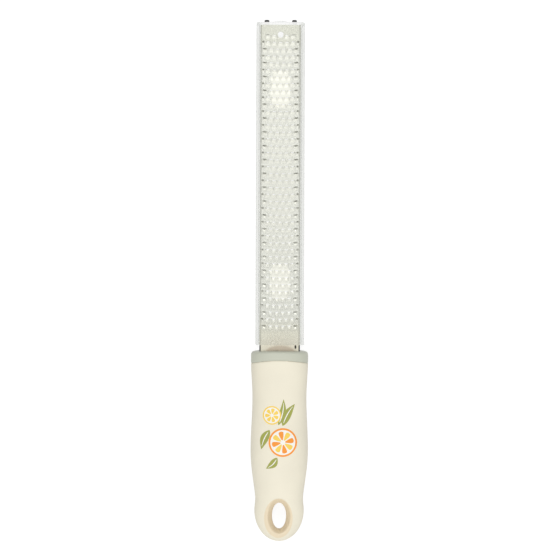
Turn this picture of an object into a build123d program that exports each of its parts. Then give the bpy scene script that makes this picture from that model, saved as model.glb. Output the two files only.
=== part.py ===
from build123d import *

# Rasp zester lying on its back: a toothed steel blade in a soft moulded handle, under a clear slide-on cover.
# +Y runs along the blade to its tip, +Z points up out of the teeth, and the origin is on the table under
# the middle of the whole tool. Sizes are in millimetres. Places along the tool are measured from the
# hanging end of the handle, and heights from the table.

import os
from math import atan, cos, pi, sin, sqrt, tan

# Lengths from the hanging end to the tip
grip_length = 113.5
collar_length = 6.5
blade_reach = 204.0
foot_reach = 4.6

# Outer form of the handle: half width, front height and back height at five stations
end_length = 19.5
end_half_width = 15.6
end_front = 20.6
end_back = 4.6
neck_half_width = 15.05
neck_front = 21.4
neck_back = 3.6
belly_half_width = 18.05
belly_front = 26.4
belly_back = 0.1
waist_half_width = 17.0
waist_front = 24.6
waist_back = 0.6
shoulder_half_width = 18.0
shoulder_front = 25.4
shoulder_back = 0.0

# Where those stations lie between the rounded end and the seam, and where the end's own sections lie
neck_place_share = 0.08
belly_place_share = 0.4
waist_place_share = 0.746
swell_power_share = 0.75
end_place_shares = (0.035, 0.14, 0.34, 0.64)
round_power_share = 2.0
square_power_share = 2.45
section_point_count = 24
section_count = 10

# Arched seam between grip and collar, and the collar's bowed front
seam_radius = 74.0
collar_front_radius = 240.0
collar_edge_chamfer = 0.7

# Hanging hole: an oval waist that opens to a wider rim on both faces
hole_from_end = 16.0
hole_half_width = 4.4
hole_half_length = 8.2
hole_flare = 3.8
flare_height_shares = (0.5, 0.8, 0.95, 1.06)
flare_reach_shares = (0.3, 0.66, 0.9, 1.12)

# Moulded core inside the handle, with a narrower stem towards the hanging hole
grip_wall = 2.8
core_corner_share = 0.45
stem_half_width = 8.5
stem_from_hole = 4.0
fit_gap = 0.05

# Blade: a flat sheet with sloping edges, side flanges and hems turned in under them
blade_half_width = 12.7
blade_thickness = 0.45
blade_top = 17.0
blade_depth = 7.6
edge_slope_width = 0.9
edge_slope_drop = 0.3
edge_bend = 0.6
hem_bend = 0.5
hem_edge_from_middle = 8.6

# Tang between the core's halves, and the pegs through it
tang_half_width = 7.0
tang_length = 50.0
tang_end_wall = 6.0
peg_radius = 2.0
peg_pitch = 28.0
peg_from_tang_end = 10.0
peg_gap = 0.1
peg_rise_share = 0.6

# Teeth: offset rows, each tooth a slot with a raised three-sided cutting lip on its handle side
row_pitch = 4.33
bare_at_collar = 14.5
bare_at_tip = 7.2
row_bow = 0.8
tooth_pitch = 3.92
edge_tooth_inset = 0.9
edge_tooth_share = 0.6
tooth_half_width = 1.15
tooth_heel = 1.5
tooth_heel_half_width = 0.95
tooth_front = 1.0
tooth_ridge = 0.35
tooth_ridge_half_width = 0.4
tooth_ridge_height = 0.95
tooth_root = 0.25
slot_half_width = 1.35
slot_heel = 0.15
slot_heel_half_width = 0.62
slot_front = 1.1

# Hole through the blade near its tip
tip_hole_radius = 1.9
tip_hole_from_blade_end = 6.2

# Rubber feet clipped over the hems at the tip
foot_width = 3.0
foot_inner_lip = 1.4
foot_grip_length = 7.0
foot_drop = 1.9
foot_rise = 1.1
foot_chamfer = 0.6

# Clear cover that slides on over the tip
cover_mouth_gap = 3.7
cover_side_gap = 0.85
cover_front_gap = 0.9
cover_arch_rise = 0.7
cover_back_gap = 0.3
cover_foot_gap = 0.7
cover_wall = 1.6
cover_bend = 1.2
stop_gap = 0.2
stop_wall = 0.9
stop_drop = 2.4
nose_half_width = 5.3
nose_reach = 1.0
window_width = 12.3
window_length = 22.9
window_corner_share = 0.45
low_window_from_mouth = 39.1
high_window_from_end = 41.9

overrun = 5.0

handle_length = grip_length + collar_length
blade_end = handle_length + blade_reach
overall_length = blade_end + foot_reach
tang_end = grip_length - tang_length
core_start = tang_end - tang_end_wall
blade_bottom = blade_top - blade_depth
edge_slope = atan(edge_slope_drop / edge_slope_width)
cover_mouth = handle_length + cover_mouth_gap
cover_end = blade_end + stop_gap + stop_wall


def along(from_end):
    """Turns a place measured from the hanging end into y."""
    return from_end - overall_length / 2


def mix(first, second, share):
    """The size that lies the given share of the way from the first size to the second."""
    return first + (second - first) * share


def bar(face, start, stop):
    """A section drawn with x across and y as height becomes a bar between two places on the tool."""
    section_plane = Plane((0, along(stop), 0), x_dir=(1, 0, 0), z_dir=(0, -1, 0))
    return extrude(section_plane * face, stop - start)


def upright(face, low, high):
    """A plan drawn in x and y becomes a block between two heights."""
    return extrude(Pos(0, 0, low) * face, high - low)


def arched_face(half_width, side, crest, bottom, top_round, bottom_round):
    """Box section under an arch that springs from its sides to a crest, with its corners rounded."""
    walls = Polyline((-half_width, side), (-half_width, bottom), (half_width, bottom), (half_width, side))
    arch = ThreePointArc((half_width, side), (0, crest), (-half_width, side))
    face = make_face([walls, arch])
    face = fillet(face.vertices().sort_by(Axis.Y)[-2:], top_round)
    return fillet(face.vertices().sort_by(Axis.Y)[:2], bottom_round)


def oval_wire(place, half_width, front, back, power_share):
    """Closed smooth section of the handle, squarer than an ellipse where the power is over two."""
    middle = (front + back) / 2
    half_height = (front - back) / 2
    points = []
    for k in range(section_point_count):
        turn = 2 * pi * k / section_point_count
        across = abs(cos(turn)) ** (2 / power_share)
        up = abs(sin(turn)) ** (2 / power_share)
        x = half_width * (across if cos(turn) > 0 else -across)
        z = half_height * (up if sin(turn) > 0 else -up)
        points.append((x, along(place), middle + z))
    return Wire([Spline(points, periodic=True)])


def between(first, second, share):
    """Station sizes that lie between those of two stations."""
    return [mix(a, b, share) for a, b in zip(first, second)]


def station_sizes(share):
    """Half width, front and back at a share of the way from the rounded end to the seam."""
    stations = (
        (0, 1, (end_half_width, end_front, end_back)),
        (neck_place_share, 1, (neck_half_width, neck_front, neck_back)),
        (belly_place_share, swell_power_share, (belly_half_width, belly_front, belly_back)),
        (waist_place_share, 1, (waist_half_width, waist_front, waist_back)),
        (1, 1, (shoulder_half_width, shoulder_front, shoulder_back)),
    )
    for (start, _, first), (stop, power, second) in zip(stations, stations[1:]):
        if share <= stop:
            way = ((share - start) / (stop - start)) ** power
            return between(first, second, way**2 * (3 - 2 * way))


def handle_form():
    """Outer form of grip and collar: a rounded end, a swelling belly, a waist and a shoulder."""
    end_middle = (end_front + end_back) / 2
    end_half_height = (end_front - end_back) / 2
    sections = []
    for share in end_place_shares:
        width_share = sqrt(1 - (1 - share) ** 2)
        front = end_middle + end_half_height * width_share
        back = end_middle - end_half_height * width_share
        width = end_half_width * width_share
        sections.append(oval_wire(end_length * share, width, front, back, round_power_share))
    for k in range(section_count + 1):
        share = k / section_count
        power_share = mix(round_power_share, square_power_share, share)
        place = mix(end_length, grip_length, share)
        sections.append(oval_wire(place, *station_sizes(share), power_share))
    sections.append(oval_wire(handle_length + overrun, *station_sizes(1), square_power_share))
    return Solid.make_loft([Vertex(0, along(0), end_middle), *sections])


def plan_under_arc(radius, place):
    """Plan of everything on the hanging side of an arc that bulges to the tip and crests at a place."""
    half = belly_half_width + shoulder_half_width
    side = along(place) - radius + sqrt(radius**2 - half**2)
    start = along(-overrun)
    walls = Polyline((-half, side), (-half, start), (half, start), (half, side))
    return make_face([walls, ThreePointArc((half, side), (0, along(place)), (-half, side))])


def oval_plan(half_width, half_length):
    """Oval round the middle of the hanging hole."""
    return Pos(0, along(hole_from_end)) * Ellipse(half_width, half_length)


def hanging_hole():
    """Hourglass cutter whose wall is rounded from its oval waist to a wider rim on each face."""
    middle = (end_front + end_back) / 2
    half_height = (end_front - end_back) / 2
    levels = [(-h, r) for h, r in zip(reversed(flare_height_shares), reversed(flare_reach_shares))]
    levels += [(0, 0)] + list(zip(flare_height_shares, flare_reach_shares))
    ovals = []
    for height_share, reach_share in levels:
        reach = hole_flare * reach_share
        oval = oval_plan(hole_half_width + reach, hole_half_length + reach)
        ovals.append(Pos(0, 0, middle + half_height * height_share) * oval)
    rim = oval_plan(hole_half_width + reach, hole_half_length + reach)
    top = middle + half_height * levels[-1][0]
    bottom = middle + half_height * levels[0][0]
    return loft(ovals) + upright(rim, top, top + overrun) + upright(rim, bottom - overrun, bottom)


def core_block(gap):
    """Main block of the core, grown by a gap to give the room that holds it."""
    half_width = min(belly_half_width, waist_half_width, shoulder_half_width) - grip_wall + gap
    top = min(belly_front, waist_front, shoulder_front) - grip_wall + gap
    bottom = max(belly_back, waist_back, shoulder_back) + grip_wall - gap
    section = Pos(0, (top + bottom) / 2) * Rectangle(2 * half_width, top - bottom)
    section = chamfer(section.vertices(), (top - bottom) / 2 * core_corner_share)
    return bar(section, core_start - gap, grip_length) & behind_seam()


def core_stem(gap):
    """Flat stem of the core from its main block through the neck towards the hanging hole."""
    top = neck_front - grip_wall + gap
    bottom = neck_back + grip_wall - gap
    section = Pos(0, (top + bottom) / 2) * Rectangle(2 * (stem_half_width + gap), top - bottom)
    return bar(section, hole_from_end + hole_half_length + stem_from_hole - gap, core_start + gap)


def channel_outline(grow, edge_round, hem_round):
    """Filled outline of the blade's section, moved out by a growth on every side."""
    half_width = blade_half_width + grow
    fold = blade_half_width - edge_slope_width
    fold_x = fold + grow * tan(edge_slope / 2)
    edge_z = blade_top + grow / cos(edge_slope) - (half_width - fold) * tan(edge_slope)
    bottom = blade_bottom - grow
    right = [(half_width, bottom), (half_width, edge_z), (fold_x, blade_top + grow)]
    left = [(-x, z) for x, z in reversed(right)]
    face = make_face(Polyline(*right, *left, close=True))
    face = fillet(face.vertices().sort_by(Axis.Y)[2:4], edge_round)
    return fillet(face.vertices().sort_by(Axis.Y)[:2], hem_round)


def channel_face(gap):
    """Blade section: flat sheet, sloping edges, flanges and hems, grown by a gap on every face."""
    wall = blade_thickness + gap
    outer = channel_outline(gap, edge_bend + wall, hem_bend + wall)
    inner = channel_outline(-wall, edge_bend - gap, hem_bend - gap)
    mouth_width = 2 * (hem_edge_from_middle - gap)
    mouth = Pos(0, blade_bottom) * Rectangle(mouth_width, 2 * (wall + gap))
    return outer - inner - mouth


def tang_face(gap):
    """Flat strip of the blade's sheet, grown by a gap at its sides and underside only."""
    strip = Rectangle(2 * (tang_half_width + gap), blade_thickness + gap)
    return Pos(0, blade_top - (blade_thickness + gap) / 2) * strip


def peg_places():
    """Where the two pegs stand along the tang."""
    first = tang_end + peg_from_tang_end
    return [Pos(0, along(first)), Pos(0, along(first + peg_pitch))]


def pegs(gap, top):
    """Round pegs that rise from under the tang to a height."""
    bottom = blade_top - blade_thickness - peg_radius
    return [upright(place * Circle(peg_radius + gap), bottom, top) for place in peg_places()]


def tooth_places():
    """Seats of all teeth on the sheet: full ones, and narrower ones beside the sloping edges."""
    flat_half_width = blade_half_width - edge_slope_width
    edge_x = flat_half_width - edge_tooth_inset
    reach = flat_half_width - slot_half_width
    row_count = int((blade_reach - bare_at_collar - bare_at_tip) / row_pitch) + 1
    per_side = int(reach / tooth_pitch) + 1
    hole_place = blade_end - tip_hole_from_blade_end
    full = []
    narrow = []
    for row in range(row_count):
        place = handle_length + bare_at_collar + row * row_pitch
        offset = row % 2 == 0 and row < row_count - 1
        steps = [k + 1 / 2 if offset else k for k in range(-per_side, per_side + 1)]
        for x in [step * tooth_pitch for step in steps]:
            seat = place + row_bow * (x / blade_half_width) ** 2
            meets_hole = (
                abs(seat - hole_place) < tip_hole_radius + tooth_heel
                and abs(x) < tip_hole_radius + slot_half_width
            )
            if abs(x) <= reach and not meets_hole:
                full.append(Pos(x, along(seat), blade_top))
        if not offset:
            seat = place + row_bow * (edge_x / blade_half_width) ** 2
            narrow += [Pos(x, along(seat), blade_top) for x in (-edge_x, edge_x)]
    return full, narrow


def closed_solid(faces):
    """Solid from its flat faces, each given as a list of corners."""
    return Solid(Shell([Face(Wire.make_polygon(corners, close=True)) for corners in faces]))


def tooth_dome(width_share):
    """Flat-sided hump rooted in the sheet; the slot cuts it so that its heel stands as a lip."""
    w = tooth_half_width * width_share
    h = tooth_heel_half_width * width_share
    r = tooth_ridge_half_width * width_share
    a, b = (-w, tooth_front, -tooth_root), (-h, -tooth_heel, -tooth_root)
    c, d = (h, -tooth_heel, -tooth_root), (w, tooth_front, -tooth_root)
    e, f = (-r, tooth_ridge, tooth_ridge_height), (r, tooth_ridge, tooth_ridge_height)
    return closed_solid([(a, b, c, d), (a, e, b), (b, e, f, c), (c, f, d), (d, f, e, a)])


def tooth_slot(width_share):
    """Slot through the sheet and the hump, narrower at its heel so that the lip wraps round it."""
    w = slot_half_width * width_share
    h = slot_heel_half_width * width_share
    corners = [(-w, slot_front), (-h, -slot_heel), (h, -slot_heel), (w, slot_front)]
    plan = make_face(Polyline(*corners, close=True))
    return upright(plan, -2 * blade_thickness, tooth_ridge_height + tooth_root)


def make_blade():
    """Flat-topped channel with its tang, tip hole and rows of teeth."""
    body = bar(channel_face(0), grip_length + fit_gap, blade_end)
    body += bar(tang_face(0), tang_end, handle_length)
    tip_place = Pos(0, along(blade_end - tip_hole_from_blade_end))
    holes = [upright(tip_place * Circle(tip_hole_radius), blade_bottom, blade_top + overrun)]
    holes += pegs(peg_gap, blade_top + overrun)
    full, narrow = tooth_places()
    dome, slot = tooth_dome(1), tooth_slot(1)
    edge_dome, edge_slot = tooth_dome(edge_tooth_share), tooth_slot(edge_tooth_share)
    domes = [seat * dome for seat in full] + [seat * edge_dome for seat in narrow]
    slots = [seat * slot for seat in full] + [seat * edge_slot for seat in narrow]
    return body + domes - (slots + holes)


def make_core():
    """Front and back halves of the core, parted along the top of the tang, with pegs in the back half."""
    block = core_block(0)
    front_rise = min(belly_front, waist_front, shoulder_front) - grip_wall - blade_top
    span = belly_half_width + shoulder_half_width
    under = Pos(0, blade_top - span / 2) * Rectangle(span, span)
    over = Pos(0, blade_top + fit_gap + span / 2) * Rectangle(span, span)
    front = block & bar(over, core_start - overrun, handle_length)
    front -= pegs(peg_gap, blade_top + front_rise * peg_rise_share + peg_gap)
    back = block & bar(under, core_start - overrun, handle_length)
    back -= bar(tang_face(fit_gap), tang_end - fit_gap, handle_length)
    return front, back + pegs(0, blade_top + front_rise * peg_rise_share) + core_stem(0)


def behind_seam():
    """Everything on the hanging side of the arched seam."""
    high = max(belly_front, shoulder_front) + overrun
    return upright(plan_under_arc(seam_radius, grip_length), -overrun, high)


def make_grip(form, hole):
    """Soft overmould: the whole handle behind the seam, round the core and through the hanging hole."""
    return (form & behind_seam()) - core_block(fit_gap) - core_stem(fit_gap) - hole


def make_collar(form):
    """Hard collar between the arched seam and its own bowed front, with a slit for the blade."""
    top = shoulder_front + overrun
    front = upright(plan_under_arc(collar_front_radius, handle_length), -overrun, top)
    behind = upright(plan_under_arc(seam_radius, grip_length + fit_gap), -2 * overrun, top + overrun)
    collar = (form & front) - behind
    rim = collar.edges().filter_by(lambda e: e.center().Y > along(handle_length) - collar_edge_chamfer * 2)
    return chamfer(rim, collar_edge_chamfer) - bar(channel_face(fit_gap), grip_length - overrun, blade_end)


def make_foot(side):
    """Rubber foot clipped over the end of one hem."""
    inner = hem_edge_from_middle - foot_inner_lip
    bottom = blade_bottom - foot_drop
    height = foot_drop + blade_thickness + foot_rise
    section = Pos(side * (inner + foot_width / 2), bottom + height / 2) * Rectangle(foot_width, height)
    foot = bar(section, blade_end - foot_grip_length, overall_length)
    tip = foot.faces().sort_by(Axis.Y)[-1]
    foot = chamfer(tip.edges(), foot_chamfer)
    return foot - bar(channel_face(fit_gap), blade_end - foot_grip_length - overrun, blade_end + fit_gap)


def make_cover():
    """Arched sleeve with lips under the blade's hems, two oval windows and a stop wall at the tip."""
    half_width = blade_half_width + cover_side_gap
    side = blade_top + cover_front_gap
    crest = side + cover_arch_rise
    bottom = blade_bottom - cover_back_gap
    bend = cover_bend + cover_wall
    inner = arched_face(half_width, side, crest, bottom, cover_bend, cover_bend)
    outer_width = half_width + cover_wall
    outer = arched_face(outer_width, side + cover_wall, crest + cover_wall, bottom - cover_wall, bend, bend)
    lip_edge = hem_edge_from_middle - foot_inner_lip + foot_width + cover_foot_gap
    mouth = Pos(0, bottom - cover_wall / 2) * Rectangle(2 * lip_edge, 3 * cover_wall)
    cover = bar(outer - inner - mouth, cover_mouth, cover_end)
    stop_low = blade_top - stop_drop
    above = Pos(0, stop_low + blade_depth) * Rectangle(2 * outer_width, 2 * blade_depth)
    cover += bar(outer & above, cover_end - stop_wall, cover_end)
    radius = (nose_half_width**2 + nose_reach**2) / (2 * nose_reach)
    disc = Pos(0, along(cover_end) + nose_reach - radius) * Circle(radius)
    nose = disc & Pos(0, along(cover_end)) * Rectangle(4 * nose_half_width, 2 * nose_reach)
    cover += upright(nose, stop_low, crest)
    corner = window_corner_share * window_width
    window = RectangleRounded(window_width, window_length, corner)
    for place in (cover_mouth + low_window_from_mouth, cover_end - high_window_from_end):
        cover -= upright(Pos(0, along(place)) * window, blade_top, crest + overrun)
    return cover


form = handle_form()
core_front, core_back = make_core()
pieces = {
    "grip": make_grip(form, hanging_hole()),
    "collar": make_collar(form),
    "core_front": core_front,
    "core_back": core_back,
    "blade": make_blade(),
    "foot_left": make_foot(-1),
    "foot_right": make_foot(1),
    "cover": make_cover(),
}

# The tool stands on the table: its lowest point is at height zero
lift = -min(piece.bounding_box().min.Z for piece in pieces.values())
os.makedirs("parts", exist_ok=True)
for name, piece in pieces.items():
    export_step(Pos(0, 0, lift) * piece, f"parts/{name}.step")
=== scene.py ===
"""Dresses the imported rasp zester: blade, clear cover, soft grip with its print, collar, and the stage."""

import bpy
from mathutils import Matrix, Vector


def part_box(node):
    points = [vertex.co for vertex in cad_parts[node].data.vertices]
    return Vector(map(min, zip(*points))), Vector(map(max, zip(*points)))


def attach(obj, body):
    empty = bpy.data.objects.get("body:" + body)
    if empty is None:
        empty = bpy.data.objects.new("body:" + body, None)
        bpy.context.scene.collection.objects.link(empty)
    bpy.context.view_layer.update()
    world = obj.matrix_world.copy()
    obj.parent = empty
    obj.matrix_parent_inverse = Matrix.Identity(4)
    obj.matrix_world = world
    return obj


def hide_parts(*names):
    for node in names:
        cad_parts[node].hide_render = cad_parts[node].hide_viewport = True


bl_info = {
    "name": "Rasp zester",
    "version": (1, 0, 0),
    "blender": (4, 5, 0),
    "location": "3D View > Sidebar > Zester",
    "description": "Builds the visible pieces of a rasp zester round its packed frame",
    "category": "Object",
}

from math import cos, pi, radians, sin, tan

import bmesh
import bpy
import numpy as np
from bpy.props import FloatProperty, FloatVectorProperty, PointerProperty
from mathutils import Vector

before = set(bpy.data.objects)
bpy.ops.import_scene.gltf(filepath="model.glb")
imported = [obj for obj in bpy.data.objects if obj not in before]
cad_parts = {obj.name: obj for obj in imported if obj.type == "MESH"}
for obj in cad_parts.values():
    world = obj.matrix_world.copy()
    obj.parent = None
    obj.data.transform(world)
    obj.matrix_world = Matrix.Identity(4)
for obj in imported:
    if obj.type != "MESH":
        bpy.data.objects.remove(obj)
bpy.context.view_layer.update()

MM = 0.001
MICRON = 0.000001
HALF_LENGTH = 0.1643
BLADE_BOTTOM = 0.0094

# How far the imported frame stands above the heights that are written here
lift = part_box("blade")[0].z - BLADE_BOTTOM


def length(label, text, millimetres):
    """A size that the user may change, given in millimetres and kept in metres."""
    return FloatProperty(name=label, description=text, default=millimetres * MM, unit="LENGTH", precision=5)


def share(label, text, value):
    """A plain share between nought and one."""
    return FloatProperty(name=label, description=text, default=value, min=0, max=1, subtype="FACTOR")


def colour(label, text, value):
    """A colour as it is written in a material."""
    limits = {"size": 3, "min": 0, "max": 1, "subtype": "COLOR"}
    return FloatVectorProperty(name=label, description=text, default=value, **limits)


class BladeSizes(bpy.types.PropertyGroup):
    """Sizes of the toothed sheet."""

    half_width: length("Half width", "From the middle to the outside of a flange", 12.7)
    thickness: length("Sheet", "Thickness of the steel sheet", 0.45)
    top: length("Top", "Height of the toothed face", 17.0)
    depth: length("Depth", "From the toothed face to the outside of the hems", 7.6)
    slope_width: length("Edge slope width", "Width of the sloping edge beside the flat", 0.9)
    slope_drop: length("Edge slope drop", "Fall of the sloping edge", 0.3)
    edge_bend: length("Edge bend", "Inner radius between the sloping edge and the flange", 0.6)
    hem_bend: length("Hem bend", "Inner radius between the flange and the hem", 0.5)
    hem_edge: length("Hem edge", "From the middle to the free edge of a hem", 8.6)
    row_pitch: length("Row pitch", "From one row of teeth to the next", 4.33)
    tooth_pitch: length("Tooth pitch", "From one tooth to the next in a row", 3.92)
    row_bow: length("Row bow", "How far the ends of a row lie towards the tip", 0.8)
    first_row: length("First row", "From the collar's front to the lowest row", 14.5)
    lip_height: length("Lip height", "How far a cutting lip stands up", 0.63)
    lip_lean: length("Lip lean", "How far a cutting lip leans over its slot towards the tip", 0.95)
    end_lean: length("End lean", "The same for the lips at the ends of a row", 0.4)
    tip_hole_radius: length("Tip hole", "Radius of the round hole at the tip", 1.9)


class CoverSizes(bpy.types.PropertyGroup):
    """Sizes of the clear cover."""

    half_width: length("Half width", "From the middle to the outside of a side", 15.15)
    bottom: length("Bottom", "Height of the lips' underside", 7.5)
    side_top: length("Side top", "Height where the arch springs from the side", 19.5)
    rise: length("Rise", "How far the arch rises from side to middle", 0.7)
    wall: length("Wall", "Thickness of the moulding", 1.6)
    corner: length("Corner", "Outer radius along the long edges", 2.8)
    lip_edge: length("Lip edge", "From the middle to the free edge of a lip", 10.9)
    rim: length("Rim", "Radius along the cut edges", 0.35)
    window_width: length("Window width", "Width of an oval window", 12.3)
    window_length: length("Window length", "Length of an oval window", 22.9)


class HandleSizes(bpy.types.PropertyGroup):
    """Sizes of the handle that the visible pieces share."""

    grip: length("Grip", "From the rounded end to the crest of the seam", 114.5)
    collar: length("Collar", "From the seam's crest to the collar's front", 5.5)
    seam_radius: length("Seam radius", "Radius of the arched seam", 74.0)
    front_radius: length("Front radius", "Radius of the collar's bowed front", 240.0)
    rim: length("Collar rim", "Radius of the collar's front rim", 1.6)
    hole_place: length("Hole place", "From the rounded end to the middle of the hanging hole", 16.0)
    hole_half_width: length("Hole half width", "Half width of the hole at its waist", 4.4)
    hole_half_length: length("Hole half length", "Half length of the hole at its waist", 8.2)
    hole_flare: length("Hole flare", "How far the hole widens towards its rims", 3.8)


class FinishColours(bpy.types.PropertyGroup):
    """Colours of the finishes."""

    # The sheet along the teeth is painted lighter than by the collar and at the tip: painted light for the
    # light the lips catch
    steel: colour("Steel", "Stainless sheet along the teeth", (0.65, 0.65, 0.585))
    # Lip colour: partly polish, partly a painted highlight on the raised lips
    lip: colour("Lip", "Polished cutting lips", (0.85, 0.845, 0.75))
    steel_tip: colour("Steel at the tip", "Stainless sheet past the teeth", (0.62, 0.62, 0.535))
    steel_low: colour("Steel by the collar", "Stainless sheet near the handle", (0.61, 0.595, 0.49))
    # Painted reflection and shade of the collar on the bare steel in front of it
    collar_reflection_and_shade: colour("Stain", "Warm tint on the bare steel in front of the collar", (0.43, 0.375, 0.295))
    # Painted shade on the flange edges by the collar, and a dark spot
    dark: colour("Dark", "Dark edges and spot on the bare steel", (0.03, 0.03, 0.025))
    cover: colour("Cover", "Clear plastic over the blade", (0.975, 0.977, 0.977))
    cover_side: colour("Cover sides", "Clear plastic beside the blade", (0.904, 0.908, 0.897))
    grip: colour("Grip", "Soft cream overmould", (0.87, 0.82, 0.67))
    # Painted shade: the hole's wall is painted tan for the shade and warm bounce light inside it
    hole: colour("Hole", "Tan wall of the hanging hole", (0.83, 0.71, 0.51))
    collar: colour("Collar", "Pale grey green plastic", (0.575, 0.59, 0.49))
    core: colour("Core", "Moulded hard plastic", (0.62, 0.58, 0.47))
    foot: colour("Foot", "Black rubber", (0.012, 0.012, 0.012))
    print_orange: colour("Orange ink", "Warm ink of the motif", (0.95, 0.32, 0.03))
    print_yellow: colour("Yellow ink", "Light ink of the motif", (0.95, 0.66, 0.11))
    print_white: colour("White ink", "Pale ink of the motif", (0.93, 0.92, 0.86))
    print_olive: colour("Olive ink", "Leaf ink of the motif", (0.36, 0.38, 0.075))


class StageLight(bpy.types.PropertyGroup):
    """Light and camera of the stage."""

    zenith: FloatProperty(name="Zenith", description="Light from straight above", default=1.05, min=0, max=4)
    horizon: FloatProperty(name="Horizon", description="Light from the sides", default=0.3, min=0, max=4)
    gleam: share("Gleam", "Share of white that shiny pieces mirror", 0.75)
    camera_height: length("Camera height", "Height of the lens over the floor", 682.6)
    lean: FloatProperty(name="Lean", description="Turn of the picture", default=radians(0.2), subtype="ANGLE")


GROUPS = {
    "zester_blade": BladeSizes,
    "zester_cover": CoverSizes,
    "zester_handle": HandleSizes,
    "zester_colours": FinishColours,
    "zester_stage": StageLight,
}


def along(from_end):
    """Turns a place measured from the hanging end into y: y is the place less half the tool's length."""
    return from_end - HALF_LENGTH


def collar_front():
    """Where the collar's bowed front has its crest, as y."""
    handle = bpy.context.scene.zester_handle
    return along(handle.grip + handle.collar)


# Meshes


def placed(name, data):
    """A new object in the scene."""
    item = bpy.data.objects.new(name, data)
    bpy.context.scene.collection.objects.link(item)
    return item


def new_piece(name, points, quads, smooth_angle=40):
    """A mesh object from arrays of points and quads; corners that repeat in a quad make triangles."""
    mesh = bpy.data.meshes.new(name)
    faces = [[c for k, c in enumerate(q) if c != q[k - 1]] for q in quads.tolist()]
    mesh.from_pydata(points, [], [f for f in faces if len(f) > 2])
    mesh.validate()
    piece = placed(name, mesh)
    shade(piece, smooth_angle)
    return piece


def shade(piece, smooth_angle):
    """Smooth shading over edges that turn less than an angle in degrees."""
    piece.data.shade_smooth()
    bm = bmesh.new()
    bm.from_mesh(piece.data)
    limit = radians(smooth_angle)
    for edge in bm.edges:
        edge.smooth = edge.is_manifold and edge.calc_face_angle(0) < limit
    bm.to_mesh(piece.data)
    bm.free()


def stacked(patches):
    """Puts patches of (arrays, quads) into one: arrays in order, and quads counted on from patch to patch."""
    *arrays, quads = zip(*patches)
    counts = np.cumsum([0, *map(len, arrays[0])])
    return (*map(np.concatenate, arrays), np.concatenate([q + count for q, count in zip(quads, counts)]))


def joined(points, *rest):
    """Joins points that round to one micrometre, and keeps the first one's values; the quads come last."""
    *values, quads = rest
    keys = np.round(points * 1e6).astype(np.int64)
    _, first, index = np.unique(keys, axis=0, return_index=True, return_inverse=True)
    return (points[first], *[value[first] for value in values], index.reshape(-1)[quads])


def grid_quads(rows, columns, closed=False, wrapped=False):
    """Quads of a grid of rows by columns: each joins a point with its right and upper neighbours.

    A closed grid joins its last column to its first, and a wrapped one its last row to its first.
    """
    index = np.arange(rows * columns).reshape(rows, columns)
    if closed:
        index = np.hstack([index, index[:, :1]])
    if wrapped:
        index = np.vstack([index, index[:1]])
    return np.stack([index[:-1, :-1], index[:-1, 1:], index[1:, 1:], index[1:, :-1]], -1).reshape(-1, 4)


def plain_strip(columns, rows):
    """Flat grid over every pair of a column and a row, with a nought for each point."""
    x, y = np.meshgrid(columns, rows)
    flat = np.stack([x, y], -1).reshape(-1, 2)
    return flat, np.zeros(len(flat)), grid_quads(len(rows), len(columns))


def shell(quads, outer, inner):
    """Closed shell: outer points, inner ones turned over, and a wall along each free edge of the quads."""
    count = len(outer)
    edges = np.stack([quads, np.roll(quads, -1, axis=1)], -1).reshape(-1, 2)
    edges = edges[edges[:, 0] != edges[:, 1]]
    keys = edges[:, 0] * count + edges[:, 1]
    back = edges[:, 1] * count + edges[:, 0]
    free = edges[~np.isin(keys, back)]
    walls = np.stack([free[:, 1], free[:, 0], free[:, 0] + count, free[:, 1] + count], -1)
    return np.vstack([outer, inner]), np.vstack([quads, quads[:, ::-1] + count, walls])


def apply_modifiers(piece):
    """Bakes a piece's modifiers into its mesh."""
    graph = bpy.context.evaluated_depsgraph_get()
    mesh = bpy.data.meshes.new_from_object(piece.evaluated_get(graph))
    piece.modifiers.clear()
    piece.data = mesh


def cut(piece, cutter, operation="DIFFERENCE"):
    """Cuts a piece with a closed mesh, or joins the two, and takes the other mesh away."""
    modifier = piece.modifiers.new("cut", "BOOLEAN")
    modifier.object = cutter
    modifier.operation = operation
    modifier.solver = "EXACT"
    apply_modifiers(piece)
    bpy.data.objects.remove(cutter)


# Materials


def node_tools(tree):
    """Two helpers for a node tree: add makes a node and feeds it, and feed sets or wires a node's inputs.

    Each input is a keyword: _n means socket n, and in any other name _ stands for a space. A value that is a
    socket is wired, and anything else is set.
    """

    def feed(node, **inputs):
        for key, value in inputs.items():
            socket = node.inputs[int(key[1:]) if key[1:].isdigit() else key.replace("_", " ")]
            if isinstance(value, bpy.types.NodeSocket):
                tree.links.new(value, socket)
            else:
                socket.default_value = value
        return node

    def add(kind, settings=(), **inputs):
        node = tree.nodes.new("ShaderNode" + kind)
        for key, value in dict(settings).items():
            setattr(node, key, value)
        return feed(node, **inputs)

    return add, feed


def material(name):
    """A new material with its Principled shader, its output node and the helpers add and feed."""
    mat = bpy.data.materials.new(name)
    mat.use_nodes = True
    nodes = mat.node_tree.nodes
    return mat, nodes["Principled BSDF"], nodes["Material Output"], *node_tools(mat.node_tree)


def object_place(add):
    """Place on the object, then its distance from the middle plane, its y and its z by themselves."""
    place = add("TexCoord").outputs["Object"]
    x, y, z = add("SeparateXYZ", _0=place).outputs
    return place, add("Math", {"operation": "ABSOLUTE"}, _0=x).outputs[0], y, z


def noise(add, stretch=(1, 1, 1), scale=1, **settings):
    """Noise on the object: its waves per metre are the scale times the stretch along each axis."""
    place = add("Mapping", Vector=add("TexCoord").outputs["Object"], Scale=stretch).outputs[0]
    return add("TexNoise", Vector=place, Scale=scale, **settings).outputs[0]


def mapped(add, value, low, high, at_low=0, at_high=1):
    """Maps a span of a value onto another span, and holds it there past the ends."""
    return add("MapRange", Value=value, _1=low, _2=high, _3=at_low, _4=at_high).outputs[0]


def combined(add, operation, first, *others):
    """Two or more values taken together by one operation, from left to right."""
    for other in others:
        first = add("Math", {"operation": operation}, _0=first, _1=other).outputs[0]
    return first


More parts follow.
